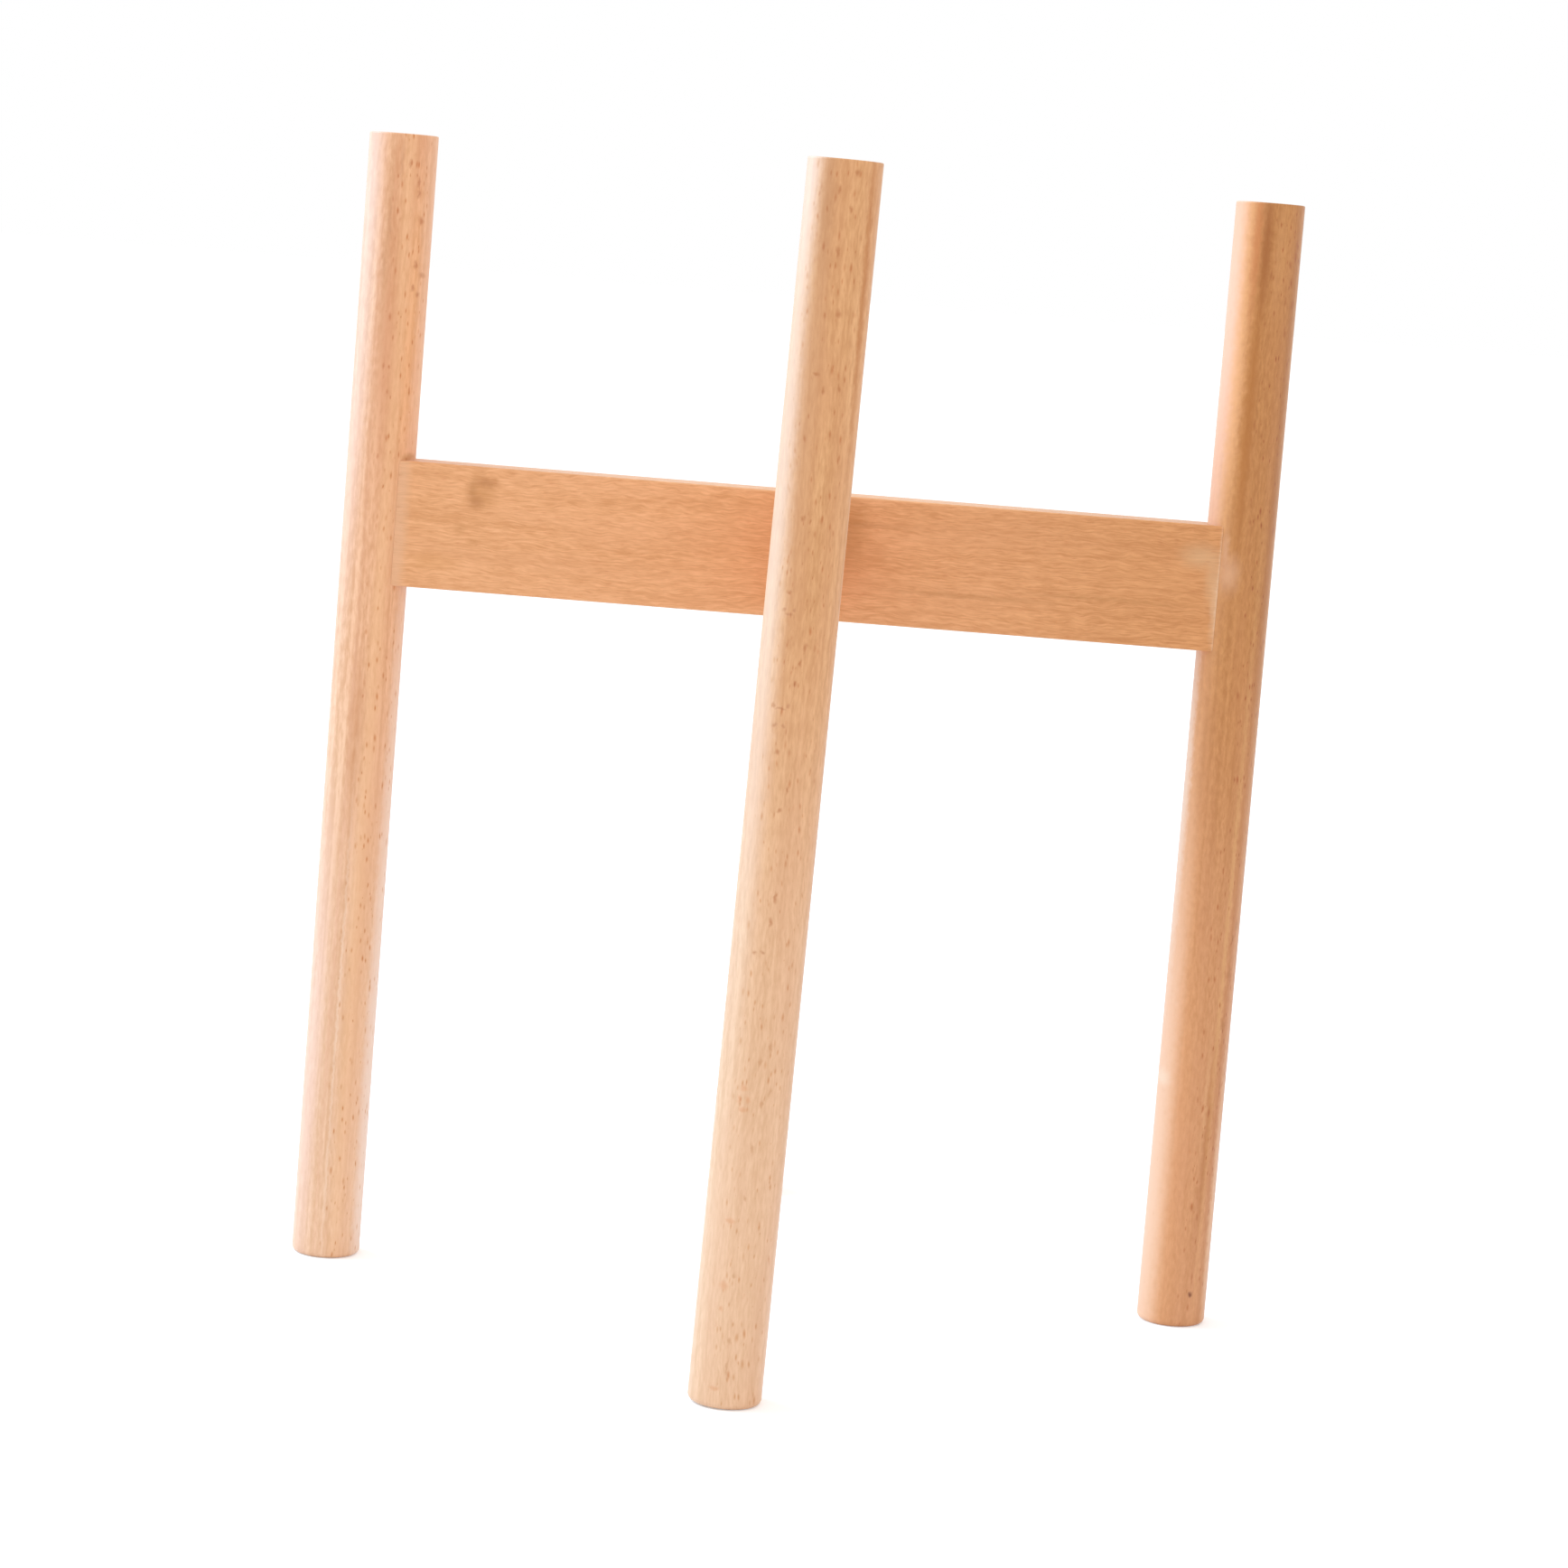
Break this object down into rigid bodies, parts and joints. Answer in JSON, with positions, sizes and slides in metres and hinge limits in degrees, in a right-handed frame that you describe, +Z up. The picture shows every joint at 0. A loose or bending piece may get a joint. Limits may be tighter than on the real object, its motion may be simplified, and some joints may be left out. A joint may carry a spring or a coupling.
{
  "type": "plant stand",
  "caption": "Free-standing wooden plant stand: round legs held by two flat rails that cross in a halving joint and carry the pot between the leg tops.",
  "frame": {"origin": "on the floor under the crossing of the two rails, which is the centre of the four feet", "axes": "+Z up along the legs; the lower frame's rail runs along X and the upper frame's rail along Y, with the front leg at -Y"},
  "size_m": [0.341, 0.341, 0.4153],
  "materials": {
    "leg_left": "sanded beech with a thin matt clear coat",
    "leg_right": "sanded beech with a thin matt clear coat",
    "leg_front": "sanded beech with a thin matt clear coat",
    "leg_back": "sanded beech with a thin matt clear coat",
    "lower_rail": "sanded beech with a thin matt clear coat",
    "upper_rail": "sanded beech with a thin matt clear coat",
    "dowels": "plain fluted beech pin"
  },
  "bodies": {
    "lower_frame": {"leg_left": "leg_left", "leg_right": "leg_right", "lower_rail": "lower_rail", "dowel_left_upper": "dowels", "dowel_left_lower": "dowels", "dowel_right_upper": "dowels", "dowel_right_lower": "dowels"},
    "upper_frame": {"leg_front": "leg_front", "leg_back": "leg_back", "upper_rail": "upper_rail", "dowel_front_upper": "dowels", "dowel_front_lower": "dowels", "dowel_back_upper": "dowels", "dowel_back_lower": "dowels"}
  },
  "joints": [
    {"name": "upper_frame_lift", "type": "slide", "parent": "lower_frame", "child": "upper_frame", "axis": [0.0175, 0, 0.9998], "range_m": [0, 0.06]}
  ]
}
